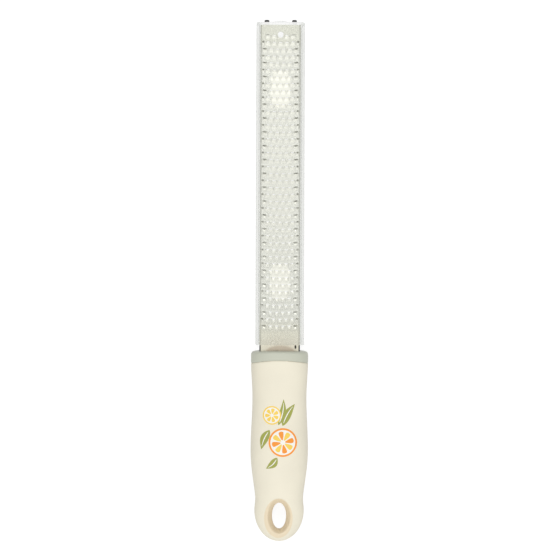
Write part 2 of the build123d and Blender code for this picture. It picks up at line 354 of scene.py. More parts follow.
def ramp(add, value, stops):
    """A colour that follows a value through stops of (place, colour)."""
    node = add("ValToRGB", Fac=value)
    band = node.color_ramp
    while len(band.elements) < len(stops):
        band.elements.new(0.5)
    for element, (place, rgb) in zip(band.elements, stops):
        element.position = place
        element.color = (*rgb, 1)
    return node.outputs[0]


def shaded(rgb, factor):
    """The colour times a factor."""
    return tuple(min(1, c * factor) for c in rgb)


def tinted(add, under, over, mask):
    """A colour over another where the mask is one."""
    return add("Mix", {"data_type": "RGBA"}, _0=mask, _6=under, _7=(*over, 1)).outputs[2]


def oval_mask(add, place, middle, radii, soft):
    """One inside an upright oval cylinder and nought outside: the edge is as soft as a share of the radii.

    The distance is the root of ((x - middle x) / radius x)^2 + ((y - middle y) / radius y)^2.
    """
    scale = (1 / radii[0], 1 / radii[1], 0)
    shift = (-middle[0] / radii[0], -middle[1] / radii[1], 0)
    scaled = add("Mapping", Vector=place, Scale=scale, Location=shift).outputs[0]
    away = add("VectorMath", {"operation": "LENGTH"}, _0=scaled).outputs[1]
    ease = {"interpolation_type": "SMOOTHSTEP"}
    return add("MapRange", ease, Value=away, _1=1 - soft, _2=1 + soft, _3=1, _4=0).outputs[0]


# Stretch of the steel's fine grain and of its clouds, and of the cover's haze
GRAIN, CLOUD, HAZE = (5200, 260, 5200), (60, 26, 60), (70, 22, 70)

# The steel's tone follows shares of this length from the collar's front; along the teeth it is painted
# lighter than by the collar and at the tip, as painted light
ZONE_LENGTH = 200 * MM

# Painted marks on the bare steel by the collar, a halo and an arc of painted reflection and shade of the
# collar, and a dark spot: place from the collar's front and radii in millimetres, and softness
COLLAR_REFLECTION_HALO = ((0, 0), (13.5, 8.5), 0.6)
COLLAR_REFLECTION_ARC = ((0.5, -1.2), (9.5, 4.4), 0.16)
SPECK = ((9.9, 2.4), (0.6, 1.2), 0.4)


def steel_mark(add, place, mark):
    """Mask of one mark on the bare steel."""
    (x, y), radii, soft = mark
    return oval_mask(add, place, (x * MM, collar_front() + y * MM), [r * MM for r in radii], soft)


def steel_finish():
    """Stainless sheet: rolled grain, cloudy polish, painted light along the teeth, lips painted bright as
    partly polish and partly a painted highlight, and by the collar a painted reflection and shade of it,
    painted shade on the flange edges and a dark spot.
    """
    colours = bpy.context.scene.zester_colours
    mat, shader, _, add, feed = material("stainless_sheet")
    place, beside, y, z = object_place(add)
    front = collar_front()
    grain = noise(add, GRAIN, Detail=3, Roughness=0.6)
    both = add("Mix", {"data_type": "FLOAT"}, _0=0.4, _2=grain, _3=noise(add, CLOUD, Detail=2)).outputs[0]
    way = mapped(add, y, front, front + ZONE_LENGTH)
    # Painted light: the band along the teeth is lighter than the collar end and the tip
    painted_light_zones = [(0.055, colours.steel_low), (0.11, colours.steel)]
    painted_light_zones += [(0.94, colours.steel), (0.97, colours.steel_tip)]
    speckle = mapped(add, both, 0, 1, 0.965, 1.035)
    tone = add("VectorMath", {"operation": "SCALE"}, _0=ramp(add, way, painted_light_zones), Scale=speckle).outputs[0]
    face = bpy.context.scene.zester_blade.top + lift
    # Painted highlight: the raised lips are painted lighter, partly for their polish; it fades towards the
    # collar
    raised = mapped(add, z, face + 0.03 * MM, face + 0.17 * MM)
    polish = mapped(add, way, 0.05, 0.4, 0.3, 1)
    tone = tinted(add, tone, colours.lip, combined(add, "MULTIPLY", raised, polish))
    # Painted reflection and shade of the collar: a soft halo and a warm arc on the steel in front of it
    halo = combined(add, "MULTIPLY", steel_mark(add, place, COLLAR_REFLECTION_HALO), 0.35)
    tone = tinted(add, tone, shaded(colours.collar_reflection_and_shade, 1.12), halo)
    tone = tinted(add, tone, colours.collar_reflection_and_shade, steel_mark(add, place, COLLAR_REFLECTION_ARC))
    # Painted shade: the flange edges between the cover and the collar are painted near black, and so is a
    # spot
    at_edge = mapped(add, beside, 11.7 * MM, 12 * MM)
    bare = mapped(add, y, front + 3.3 * MM, front + 3.7 * MM, 1, 0)
    high = mapped(add, z, 15.8 * MM + lift, 16.1 * MM + lift)
    edges = combined(add, "MULTIPLY", at_edge, bare, high)
    tone = tinted(add, tone, colours.dark, combined(add, "MAXIMUM", edges, steel_mark(add, place, SPECK)))
    bump = add("Bump", Strength=0.03, Distance=0.02 * MM, Height=grain).outputs[0]
    polish = mapped(add, both, 0, 1, 0.2, 0.36)
    feed(shader, Base_Color=tone, Roughness=polish, Normal=bump, Metallic=1)
    return mat


def clear_finish():
    """Clear moulded plastic with faint flow haze; lamps shine through it.

    The gloss follows the fifth power of how far the face turns away. A band of the top is milky at the tip.
    """
    colours = bpy.context.scene.zester_colours
    mat, shader, output, add, feed = material("clear_moulding")
    _, beside, y, z = object_place(add)
    haze = noise(add, HAZE, Detail=3)
    tone = ramp(add, haze, [(0.3, (0.91, 0.91, 0.9)), (0.7, (0.96, 0.96, 0.95))])
    feed(shader, Base_Color=tone, Roughness=mapped(add, haze, 0, 1, 0.06, 0.14))
    at_side = mapped(add, beside, 12.5 * MM, 13.5 * MM)
    through = add("BsdfTransparent", Color=ramp(add, at_side, [(0, colours.cover), (1, colours.cover_side)]))
    facing = add("LayerWeight", Blend=0.5).outputs["Facing"]
    gloss = mapped(add, combined(add, "POWER", facing, 5), 0, 0.27, 0.035, 0.3)
    starts = mapped(add, y, 158.8 * MM, 159.1 * MM)
    stops = mapped(add, y, 160.9 * MM, 161.2 * MM, 1, 0)
    outside = mapped(add, z, 18.7 * MM + lift, 19.1 * MM + lift)
    inner = mapped(add, beside, 11.5 * MM, 12.2 * MM, 1, 0)
    seen = add("LightPath").outputs["Is Camera Ray"]
    milk = mapped(add, combined(add, "MULTIPLY", starts, stops, outside, inner, seen), 0, 1, 0.02, 0.85)
    solid = add("Math", {"operation": "ADD", "use_clamp": True}, _0=gloss, _1=milk).outputs[0]
    mixed = add("MixShader", _0=solid, _1=through.outputs[0], _2=shader.outputs[0])
    feed(output, Surface=mixed.outputs[0])
    return mat


def plastic_finish(name, rgb, roughness, grain, relief, soft=0.0, oval=None):
    """Moulded plastic or rubber: fine spark grain in relief, with a slow change of tone and polish.

    An oval of (middle, radii, colour) has another colour inside it.
    """
    mat, shader, _, add, feed = material(name)
    fine = noise(add, scale=1 / grain, Detail=2)
    slow = noise(add, scale=45, Detail=3)
    tone = ramp(add, slow, [(0.3, shaded(rgb, 0.97)), (0.7, shaded(rgb, 1.02))])
    if oval:
        middle, radii, inner = oval
        tone = tinted(add, tone, inner, oval_mask(add, object_place(add)[0], middle, radii, 0.03))
    bump = add("Bump", Strength=0.3, Distance=relief, Height=fine).outputs[0]
    polish = mapped(add, slow, 0, 1, roughness - 0.04, roughness + 0.04)
    feed(shader, Base_Color=tone, Roughness=polish, Normal=bump, Sheen_Weight=soft, Sheen_Roughness=0.5)
    return mat


def dress(piece, mat):
    """Gives a piece one material."""
    piece.data.materials.clear()
    piece.data.materials.append(mat)


# Profiles of the sheet and the cover


def arc_place(x, crest, radius):
    """Height of an arc over x: its crest less the sagitta, which is radius - sqrt(radius^2 - x^2)."""
    return crest - radius + np.sqrt(radius**2 - x**2)


def bow_radius(half_width, rise):
    """Radius of an arc that rises over a half width: (half width^2 + rise^2) / (2 rise)."""
    return (half_width**2 + rise**2) / (2 * rise)


def rounded_path(corners, radii, steps):
    """Path through corners, each rounded by its radius: points, and normals that lie left of the way.

    A corner that turns by an angle keeps radius times tan(half the angle) free on each side, and its points
    lie at the arc's middle plus the radius times the turning normal. A corner with no radius is one point,
    whose normal is the mean of its neighbours' over the square of the cosine of half the turn.
    """
    points, normals = [], []
    for k, (corner, radius) in enumerate(zip(corners, radii)):
        here = np.array(corner, float)
        before = here - np.array(corners[k - 1]) if k else None
        after = np.array(corners[k + 1]) - here if k < len(corners) - 1 else None
        before = after if before is None else before
        after = before if after is None else after
        d1 = before / np.hypot(*before)
        d2 = after / np.hypot(*after)
        n1, n2 = np.array([-d1[1], d1[0]]), np.array([-d2[1], d2[0]])
        half = np.arccos(np.clip(d1 @ d2, -1, 1)) / 2
        if radius == 0:
            points.append(here)
            normals.append((n1 + n2) / 2 / cos(half) ** 2)
            continue
        middle = here - d1 * radius * tan(half) - n1 * radius
        for way in np.linspace(0, 1, steps + 1):
            n = n1 * sin((1 - way) * 2 * half) + n2 * sin(way * 2 * half)
            n /= np.hypot(*n)
            points.append(middle + n * radius)
            normals.append(n)
    return np.array(points), np.array(normals)


def fold_path(sizes):
    """Outside of the sheet from the edge of the flat to the free edge of a hem, with its normals."""
    edge = sizes.half_width - sizes.slope_width
    low, high = sizes.top - sizes.depth, sizes.top - sizes.slope_drop
    corners = [(edge, sizes.top), (sizes.half_width, high), (sizes.half_width, low), (sizes.hem_edge, low)]
    radii = [0, sizes.edge_bend + sizes.thickness, sizes.hem_bend + sizes.thickness, 0]
    path, normals = rounded_path(corners, radii, 7)
    normals[0] = (sin(EDGE_TURN), cos(EDGE_TURN))
    return path, normals


# Blade


# Where the sheet begins past the seam's crest, the number of rows, and where their bow fades before the tip
ROOT_GAP = 0.3 * MM
ROW_COUNT = 43
BOW_FADE = 5 * MM

# Slot: half width, from its cell's middle to its widest place, and from there to its end each way
SLOT_HALF_WIDTH = 1.3 * MM
SLOT_FORWARD = 0.95 * MM
SLOT_LOW = 1.3 * MM
SLOT_HIGH = 0.28 * MM

# Narrow slot: place beside the middle, and its width and the height of its lip against a full one's
NARROW_PLACE = 10.9 * MM
NARROW_WIDTH = 0.58
NARROW_LIP = 0.75

# Rise half way to the lip against the lip's, and where beside the middle the lips begin to lean less
LIP_FOOT = 0.22
END_PLACE = 8.6 * MM

# Tip hole: its middle from the tip, and from there to the end of its cell
TIP_HOLE_PLACE = 6.2 * MM
TIP_HOLE_CELL = 3.2 * MM

# Turn of the sheet's normal at the edge of the flat, in radians
EDGE_TURN = 0.16

# Degrees round a full and a narrow slot, one for each point on the border of its cell
SLOT_TURNS = (210, 240, 270, 300, 330, 360, 45, 66, 90, 114, 135, 180)
NARROW_TURNS = (220, 270, 320, 360, 45, 90, 135, 180)

# Power that rounds the lip, and how far apart the columns past the fold lie in the unrolled sheet
LIP_POWER = 0.7
FOLD_STEP = 1 * MM


class MakeBlade(bpy.types.Operator):
    """Toothed sheet folded into a channel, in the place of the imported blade"""

    bl_idname = "zester.make_blade"
    bl_label = "Toothed blade"

    def execute(self, context):
        sizes = context.scene.zester_blade
        start = along(context.scene.zester_handle.grip + ROOT_GAP)
        span = (start, collar_front(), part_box("blade")[1].y)
        path = fold_path(sizes)
        points, rises, quads = toothed_sheet(sizes, len(path[0]), *span)
        outer, inner = folded(sizes, *path, points, rises, *span[1:])
        piece = new_piece("toothed_blade", *shell(quads, outer, inner), 50)
        dress(piece, steel_finish())
        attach(piece, "handle")
        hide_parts("blade")
        return {"FINISHED"}


def lattice_columns(sizes):
    """Columns of the unrolled face: quarters of the tooth pitch, then half way to the fold and the fold."""
    quarters = np.arange(-10, 11) * sizes.tooth_pitch / 4
    edge = sizes.half_width - sizes.slope_width
    outer = np.array([(quarters[-1] + edge) / 2, edge])
    return np.concatenate([-outer[::-1], quarters, outer])


def ring_cell(border, hole, rises):
    """Two rings of quads from a cell's border to a hole's edge, with the rise of each point."""
    border = np.array(border)
    ways = np.array([0, 0.5, 1])[:, None, None]
    points = border * (1 - ways) + hole * ways
    return points.reshape(-1, 2), rises.reshape(-1), grid_quads(3, len(border), closed=True)


def tooth_cell(sizes, columns, rows, middle, narrow):
    """Flat cell round one slot, between its first and last column and row.

    The slot's lower half is an ellipse that sinks towards the handle, and its upper half a flat bow. The
    sheet beside the lower half rises as the lip's power of -sin of the angle. Half way to the border it keeps
    the lip foot's share of that, and at the border nothing.
    """
    low, seat, high = rows
    border = [(x, low) for x in columns] + [(columns[-1], seat)]
    border += [(x, high) for x in columns[::-1]] + [(columns[0], seat)]
    turns = np.radians(NARROW_TURNS if narrow else SLOT_TURNS)
    wide = SLOT_HALF_WIDTH * (NARROW_WIDTH if narrow else 1)
    deep = np.where(np.sin(turns) < 0, SLOT_LOW, SLOT_HIGH)
    slot_y = seat + SLOT_FORWARD + deep * np.sin(turns)
    slot = np.stack([middle + wide * np.cos(turns), slot_y], -1)
    rise = np.maximum(-np.sin(turns), 0) ** LIP_POWER * sizes.lip_height * (NARROW_LIP if narrow else 1)
    return ring_cell(border, slot, np.array([0, LIP_FOOT, 1])[:, None] * rise)


def tip_hole_cell(sizes, low, row_top, hole, high):
    """Cell with the round tip hole, in the place of the top row's middle tooth."""
    half = sizes.tooth_pitch / 2
    across = np.linspace(-half, half, 5)
    up = [low + (row_top - low) / 2, row_top, (row_top + high) / 2]
    border = [(x, low) for x in across] + [(half, y) for y in up]
    border += [(x, high) for x in across[::-1]] + [(-half, y) for y in up[::-1]]
    away = np.array(border) - [0, hole]
    circle = away / np.hypot(*away.T)[:, None] * sizes.tip_hole_radius + [0, hole]
    return ring_cell(border, circle, np.zeros((3, len(border))))


def toothed_sheet(sizes, fold_count, start, front, tip):
    """Unrolled sheet: cells with slots over the flat, and plain strips beyond it, as points, rises and quads.

    Rows of six teeth alternate with rows of five that have a narrow one at each end. The top row has none of
    the narrow ones, and the tip hole takes the place of its middle tooth.
    """
    pitch, row_pitch = sizes.tooth_pitch, sizes.row_pitch
    lattice = lattice_columns(sizes)
    edge = lattice[-1]
    wholes, halves = np.arange(-2, 3) * pitch, np.arange(-2.5, 3) * pitch
    seats = front + sizes.first_row + np.arange(ROW_COUNT) * row_pitch
    cells = []
    for row, seat in enumerate(seats):
        rows = np.array([seat - row_pitch / 2, seat, seat + row_pitch / 2])
        top_row = row == ROW_COUNT - 1
        six = row % 2 == 0 and not top_row
        middles = halves if six else [-NARROW_PLACE, *wholes, NARROW_PLACE]
        borders = [-edge, *(wholes if six else halves), edge]
        for middle, left, right in zip(middles, borders, borders[1:]):
            columns = lattice[(lattice > left - MICRON) & (lattice < right + MICRON)]
            narrow = len(columns) < 4
            if top_row and narrow:
                cells.append(plain_strip(columns, rows))
            elif not top_row or middle != 0:
                cells.append(tooth_cell(sizes, columns, rows, middle, narrow))
    first, last = seats[0] - row_pitch / 2, seats[-1] + row_pitch / 2
    hole = tip - TIP_HOLE_PLACE
    high = hole + TIP_HOLE_CELL
    cells.append(tip_hole_cell(sizes, last - row_pitch, last, hole, high))
    beside_rows = np.array([last, (last + high) / 2, high])
    side = lattice[lattice > pitch / 2 - MICRON]
    cells += [plain_strip(columns, beside_rows) for columns in (side, -side[::-1])]
    tip_rows = np.linspace(high, tip, 4)
    low_rows = np.concatenate([np.linspace(start, front, 3)[:-1], np.linspace(front, first, 8)])
    cells += [plain_strip(lattice, rows) for rows in (tip_rows, low_rows)]
    seat_rows = np.stack([seats - row_pitch / 2, seats], -1).reshape(-1)
    all_rows = np.concatenate([low_rows[:-1], seat_rows, beside_rows[:-1], tip_rows])
    fold = edge + np.arange(fold_count) * FOLD_STEP
    cells += [plain_strip(columns, all_rows) for columns in (fold, -fold[::-1])]
    return joined(*stacked(cells))


def folded(sizes, path, normals, points, rises, front, tip):
    """Folds the flat sheet: x follows the path, y gains bow * (x / half width)^2, and lips rise and lean."""
    edge = path[0, 0]
    away, side = np.abs(points[:, 0]), np.sign(points[:, 0])
    index = np.round(np.clip((away - edge) / FOLD_STEP, 0, len(path) - 1)).astype(int)
    beyond, bent = away > edge + MICRON, away > edge - MICRON
    x = np.where(beyond, side * path[index, 0], points[:, 0])
    z = np.where(beyond, path[index, 1], sizes.top)
    nx = np.where(bent, side * normals[index, 0], 0)
    nz = np.where(bent, normals[index, 1], 1)
    fade_in = np.clip((points[:, 1] - front) / sizes.first_row, 0, 1)
    fade_out = np.clip((tip - points[:, 1]) / BOW_FADE, 0, 1)
    bow = sizes.row_bow * (np.minimum(away, edge) / sizes.half_width) ** 2 * fade_in * fade_out
    lean = np.where(away > END_PLACE, sizes.end_lean, sizes.lip_lean)
    y = points[:, 1] + bow + lean * rises / sizes.lip_height
    outer = np.stack([x, y, z + rises + lift], -1)
    inner = outer - np.stack([nx, 0 * nx, nz], -1) * sizes.thickness
    return outer, inner


# Cover


# Arch: from a side to its last point. Corners: top radius against the lower, a window's against its width
ARCH_INSET = 2.7 * MM
TOP_CORNER = 0.97
WINDOW_CORNER = 0.45

# Windows: half width of their strip, margin past their ends, and middles from the mouth and from the end wall
WINDOW_STRIP = 7.5 * MM
WINDOW_MARGIN = 2 * MM
LOW_WINDOW = 39.1 * MM
HIGH_WINDOW = 41.9 * MM

# End wall: height of its underside, thickness and inset. Its nose: half width and reach
STOP_HEIGHT = 14.6 * MM
STOP_WALL = 0.9 * MM
STOP_INSET = 0.5 * MM
NOSE_HALF_WIDTH = 5.3 * MM
NOSE_REACH = 1 * MM

# Points along half of the arch, and rows of a rounded rim as shares of its radius
ARCH_POINTS = 13
RIM_SHARES = (0.13, 0.5, 1.0)

# Past its cell, a column of the unrolled cover holds this mark plus an index on the profile, in place of x
PATH_MARK = 0.1


class MakeCover(bpy.types.Operator):
    """Clear sleeve with two oval windows and an end wall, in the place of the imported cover"""

    bl_idname = "zester.make_cover"
    bl_label = "Clear cover"

    def execute(self, context):
        sizes = context.scene.zester_cover
        low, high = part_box("cover")
        end = high.y - NOSE_REACH
        piece = cover_sleeve(sizes, low.y, end)
        cut(piece, end_wall(sizes, end), "UNION")
        shade(piece, 35)
        piece.name = "clear_cover"
        dress(piece, clear_finish())
        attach(piece, "cover")
        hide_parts("cover")
        return {"FINISHED"}


def cover_profile(sizes):
    """Right half of the cover's outer section from crest to lip: arch, rounded corner, side and lip."""
    radius = bow_radius(sizes.half_width, sizes.rise)
    x = np.linspace(0, sizes.half_width - ARCH_INSET, ARCH_POINTS)
    arch = np.stack([x, arc_place(x, sizes.side_top + sizes.rise, radius)], -1)
    arch_normals = np.stack([x, np.sqrt(radius**2 - x**2)], -1) / radius
    corners = [arch[-1], (sizes.half_width, sizes.side_top), (sizes.half_width, sizes.bottom)]
    corners += [(sizes.lip_edge, sizes.bottom)]
    path, normals = rounded_path(corners, [0, sizes.corner * TOP_CORNER, sizes.corner, 0], 8)
    return np.vstack([arch[:-1], path]), np.vstack([arch_normals[:-1], normals])


def cover_sleeve(sizes, mouth, end):
    """Sleeve as a shell over its unrolled sheet: cells with a window in the arch, plain strips elsewhere."""
    path, normals = cover_profile(sizes)
    windows = np.array([mouth + LOW_WINDOW, end - HIGH_WINDOW])
    reach = sizes.window_length / 2 + WINDOW_MARGIN
    columns = np.linspace(-WINDOW_STRIP, WINDOW_STRIP, 15)
    plain = [np.linspace(*span, 25) for span in zip([mouth, *windows + reach], [*windows - reach, end])]
    plain[0] = np.sort(np.append(plain[0], mouth + np.array(RIM_SHARES) * sizes.rim))
    plain[-1] = np.sort(np.append(plain[-1], end - np.array(RIM_SHARES) * sizes.rim))
    around = [np.linspace(-reach, reach, 25) + window for window in windows]
    patches = [plain_strip(columns, rows) for rows in plain]
    patches += [window_cell(sizes, columns, rows, window) for rows, window in zip(around, windows)]
    rows = np.unique(np.round(np.concatenate([*plain, *around]), 9))
    wide = np.append(WINDOW_STRIP, PATH_MARK + np.flatnonzero(path[:, 0] > WINDOW_STRIP + MICRON))
    patches += [plain_strip(columns, rows) for columns in (wide, -wide[::-1])]
    places, depth, quads = joined(*stacked(patches))
    away, side = np.abs(places[:, 0]), np.sign(places[:, 0])
    marked = away > PATH_MARK / 2
    index = np.where(marked, np.round(away - PATH_MARK), 0).astype(int)
    x, z, nx, nz = [
        np.where(marked, track[index], np.interp(away, path[:ARCH_POINTS, 0], track[:ARCH_POINTS]))
        for track in (*path.T, *normals.T)
    ]
    near_end = np.minimum(places[:, 1] - mouth, end - places[:, 1])
    depth = np.maximum(depth, rim_depth(near_end, sizes.rim))[:, None]
    normal = np.stack([side * nx, 0 * nx, nz], -1)
    middle = np.stack([side * x, places[:, 1], z + lift], -1)
    outer, inner = middle - normal * depth, middle - normal * (sizes.wall - depth)
    return new_piece("sleeve", *shell(quads, outer, inner), 35)


def rim_depth(away, radius):
    """How far a rounded rim lies under the face: radius less the circle's height that far from the edge."""
    inside = np.clip(1 - away / radius, 0, 1)
    return radius * (1 - np.sqrt(1 - inside**2))


def window_cell(sizes, columns, rows, window):
    """Ring of quads from a cell's border to the rounded outline of a window, with a rounded rim.

    Each border point is drawn in to the window's box, and past a corner's middle to the corner's radius.
    """
    border = [(x, rows[0]) for x in columns[:-1]] + [(columns[-1], y) for y in rows[:-1]]
    border += [(x, rows[-1]) for x in columns[:0:-1]] + [(columns[0], y) for y in rows[:0:-1]]
    border = np.array(border)
    box = np.array([sizes.window_width / 2, sizes.window_length / 2])
    corner = WINDOW_CORNER * sizes.window_width
    away = border - [0, window]
    scaled = away / np.maximum(np.abs(away) / box, 1e-9).max(1)[:, None]
    core = np.clip(scaled, -(box - corner), box - corner)
    out = scaled - core
    distance = np.hypot(*out.T)[:, None]
    outline = core + out / np.maximum(distance, 1e-9) * np.minimum(distance, corner)
    outline = np.where(distance > corner * 0.999, outline, scaled) + [0, window]
    inward = (outline - border) / np.hypot(*(outline - border).T)[:, None]
    rings = [border, (border + outline) / 2]
    depths = [0, 0]
    for rim_share in (*RIM_SHARES[::-1], 0):
        rings.append(outline - inward * rim_share * sizes.rim)
        depths.append(rim_depth(rim_share * sizes.rim, sizes.rim))
    return np.vstack(rings), np.repeat(depths, len(border)), grid_quads(len(rings), len(border), closed=True)


def end_wall(sizes, end):
    """End wall with its bowed nose: the sleeve's outline over the stop height, carried through the wall."""
    nose_root, nose_lift = 0.3 * MM, 0.2 * MM
    path, _ = cover_profile(sizes)
    above = np.vstack([path[path[:, 1] > STOP_HEIGHT], [sizes.half_width, STOP_HEIGHT]])
    outline = np.vstack([above, (above * [-1, 1])[:0:-1]]) * [1 - STOP_INSET / sizes.half_width, 1]
    arch = np.interp(np.abs(outline[:, 0]), *path[:ARCH_POINTS].T)
    outline[:, 1] = np.minimum(outline[:, 1], arch - STOP_INSET)
    wall = prism(outline, end - STOP_WALL, end)
    x = np.linspace(-NOSE_HALF_WIDTH, NOSE_HALF_WIDTH, 21)
    bow = arc_place(x, end + NOSE_REACH, bow_radius(NOSE_HALF_WIDTH, NOSE_REACH))
    back = 0 * x + end - nose_root
    low, high = STOP_HEIGHT + nose_lift, sizes.side_top + sizes.rise - sizes.wall
    edges = [(back, low), (bow, low), (bow, high), (back, high)]
    points = np.vstack([np.stack([x, y, 0 * x + z + lift], -1) for y, z in edges])
    starts = np.arange(4) * len(x)
    ends = [starts, starts[::-1] + len(x) - 1]
    nose = new_piece("nose", points, np.vstack([grid_quads(4, len(x), wrapped=True), ends]))
    cut(wall, nose, "UNION")
    return wall


def prism(outline, start, stop):
    """Closed prism from an outline in x and z, between two places along the tool."""
    n = len(outline)
    ring = np.stack([outline[:, 0], 0 * outline[:, 0], outline[:, 1] + lift], -1)
    points = np.vstack([ring + [0, start, 0], ring + [0, stop, 0]])
    mesh = bpy.data.meshes.new("prism")
    sides = [(k, (k + 1) % n, n + (k + 1) % n, n + k) for k in range(n)]
    mesh.from_pydata(points, [], [*sides, tuple(range(n - 1, -1, -1)), tuple(range(n, 2 * n))])
    bm = bmesh.new()
    bm.from_mesh(mesh)
    bmesh.ops.recalc_face_normals(bm, faces=bm.faces)
    bm.to_mesh(mesh)
    bm.free()
    return placed("prism", mesh)


# Handle


# Length of the rounded end, and gap and groove at the seam
END_LENGTH = 19.5 * MM
SEAM_GAP = 0.02 * MM
SEAM_GROOVE = 0.12 * MM

# Hanging hole: height of its waist and from there to its rims. Its tan, a painted shade on the wall: reach
# past the flare, and shift
HOLE_HEIGHT = 12.6 * MM
HOLE_HALF_DEPTH = 8 * MM
HOLE_SHADE_MARGIN = 0.7 * MM
HOLE_SHADE_SHIFT = 0.4 * MM

# Stations of the handle: share of the way to the seam, then half width, front and back in millimetres
STATIONS = np.array([
    [0, 15.6, 20.6, 4.6],
    [0.08, 15.05, 21.4, 3.6],
    [0.4, 18.05, 26.4, 0.1],
    [0.746, 17.0, 24.6, 0.6],
    [1, 18.0, 25.4, 0.0],
])

# Power of the way up to each station, and what the section's power of 2 gains from the end to the seam
STATION_POWERS = np.array([1, 1, 0.75, 1, 1])
POWER_GAIN = 0.45

# Points round the handle, sizes of the rings that close an end, and the rounded end's share of the grip
TURN_COUNT = 96
CAP_SHARES = (0.97, 0.9, 0.75, 0.5, 0.25, 0.0)
END_SHARE = 0.16

# Flare of the hanging hole: shares of its half depth, and the shares of the flare that it has there
FLARE_DEPTH_SHARES = np.array([0, 0.15, 0.3, 0.5, 0.65, 0.8, 0.88, 0.95, 1.0, 1.06])
FLARE_SHARES = np.array([0, 0.03, 0.12, 0.3, 0.47, 0.66, 0.78, 0.9, 0.99, 1.12])


def station_sizes(s, handle):
    """Half width, middle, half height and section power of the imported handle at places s.

    Past the rounded end, each size eases from one station to the next by w^2 (3 - 2 w), where w is the share
    of the way. In the rounded end half width and half height shrink to a point as sqrt(1 - (1 - share)^2).
    """
    part = np.clip((s - END_LENGTH) / (handle.grip - END_LENGTH), 0, 1)
    place = np.clip(np.searchsorted(STATIONS[:, 0], part, side="left"), 1, len(STATIONS) - 1)
    start, stop = STATIONS[place - 1, 0], STATIONS[place, 0]
    way = ((part - start) / (stop - start)) ** STATION_POWERS[place]
    way = (way**2 * (3 - 2 * way))[..., None]
    sizes = (STATIONS[place - 1, 1:] * (1 - way) + STATIONS[place, 1:] * way) * MM
    half_width, front, back = np.moveaxis(sizes, -1, 0)
    rounding = np.sqrt(np.clip(1 - (1 - np.clip(s / END_LENGTH, 0, 1)) ** 2, 0, 1))
    return half_width * rounding, (front + back) / 2, (front - back) / 2 * rounding, 2 + POWER_GAIN * part


def handle_section(s, turn, handle, inset):
    """Point of the handle's skin at place s and turn: x = w sign(cos) |cos|^(2/p), and z alike with sin."""
    half_width, middle, half_height, power = station_sizes(s, handle)
    across, up = [np.sign(way) * np.abs(way) ** (2 / power) for way in (np.cos(turn), np.sin(turn))]
    return (half_width - inset) * across, middle + (half_height - inset) * up


def cap_rings(x, z, arc):
    """Rings that shrink from an end section to its middle, on the face under an arc."""
    rings = []
    for scale in CAP_SHARES:
        across, up = x * scale, (z - z.mean()) * scale + z.mean()
        rings.append(np.stack([across, along(arc_place(across, *arc)), up + lift], -1))
    return rings


def handle_skin(handle, shares, insets, start, stop):
    """Closed skin of the handle between two arcs of (crest, radius), or from its rounded end with no start.

    Rows run at even turns; a row's place is start(x) + share (stop(x) - start(x)), found in five passes.
    Each end that lies on an arc is closed by rings that shrink to the middle of its section.
    """
    turns, v = np.meshgrid(np.linspace(0, 2 * pi, TURN_COUNT, endpoint=False), shares)
    inset = insets[:, None] + 0 * turns
    x = 0 * turns
    for _ in range(5):
        first = arc_place(x, *start) if start else 0 * x
        s = first + v * (arc_place(x, *stop) - first)
        x, z = handle_section(s, turns, handle, inset)
    rows = [*np.stack([x, along(s), z + lift], -1), *cap_rings(x[-1], z[-1], stop)]
    if start:
        rows = [*cap_rings(x[0], z[0], start)[::-1], *rows]
    return joined(np.reshape(rows, (-1, 3)), grid_quads(len(rows), TURN_COUNT, closed=True))


class MakeGrip(bpy.types.Operator):
    """Soft grip with its hanging hole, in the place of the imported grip"""

    bl_idname = "zester.make_grip"
    bl_label = "Soft grip"

    def execute(self, context):
        handle = context.scene.zester_handle
        colours = context.scene.zester_colours
        ease = 1 - np.cos(np.linspace(0, pi / 2, 40))
        shares = np.concatenate([ease * END_SHARE, np.linspace(END_SHARE, 1, 110)[1:]])
        insets = 0 * shares
        insets[-1] = SEAM_GROOVE
        skin = handle_skin(handle, shares, insets, None, (handle.grip, handle.seam_radius))
        piece = new_piece("soft_grip", *skin)
        cut(piece, hole_cutter(handle))
        remesh = piece.modifiers.new("even", "REMESH")
        remesh.mode = "VOXEL"
        remesh.voxel_size = 0.5 * MM
        smooth = piece.modifiers.new("soften", "SMOOTH")
        smooth.factor = 0.5
        smooth.iterations = 6
        apply_modifiers(piece)
        piece.data.shade_smooth()
        # Painted shade: a tan oval over the hole's wall, shifted a little to one side
        reach = handle.hole_flare + HOLE_SHADE_MARGIN
        rims = (handle.hole_half_width + reach, handle.hole_half_length + reach)
        oval = ((-HOLE_SHADE_SHIFT, along(handle.hole_place) - HOLE_SHADE_SHIFT), rims, colours.hole)
        finish = {"roughness": 0.55, "grain": 0.35 * MM, "relief": 0.02 * MM, "soft": 0.06, "oval": oval}
        dress(piece, plastic_finish("soft_overmould", colours.grip, **finish))
        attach(piece, "handle")
        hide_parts("grip")
        return {"FINISHED"}


def hole_cutter(handle):
    """Hourglass cutter: ovals whose reach beyond the waist grows towards each face."""
    overrun = 6 * MM
    heights = np.concatenate([-FLARE_DEPTH_SHARES[:0:-1], FLARE_DEPTH_SHARES]) * HOLE_HALF_DEPTH
    heights = np.concatenate([[heights[0] - overrun], heights, [heights[-1] + overrun]])
    reaches = np.concatenate([FLARE_SHARES[:0:-1], FLARE_SHARES]) * handle.hole_flare
    reaches = np.concatenate([reaches[:1], reaches, reaches[-1:]])[:, None]
    turns = np.linspace(0, 2 * pi, TURN_COUNT, endpoint=False)
    x = (handle.hole_half_width + reaches) * np.cos(turns)
    y = (handle.hole_half_length + reaches) * np.sin(turns) + along(handle.hole_place)
    z = heights[:, None] + HOLE_HEIGHT + lift + 0 * x
    rows = np.stack([x, y, z], -1)
    centre = rows.mean(1, keepdims=True) + 0 * rows
    points = np.concatenate([centre[:1], rows, centre[-1:]])
    quads = grid_quads(len(points), TURN_COUNT, closed=True)
    return new_piece("hole_cutter", *joined(points.reshape(-1, 3), quads))


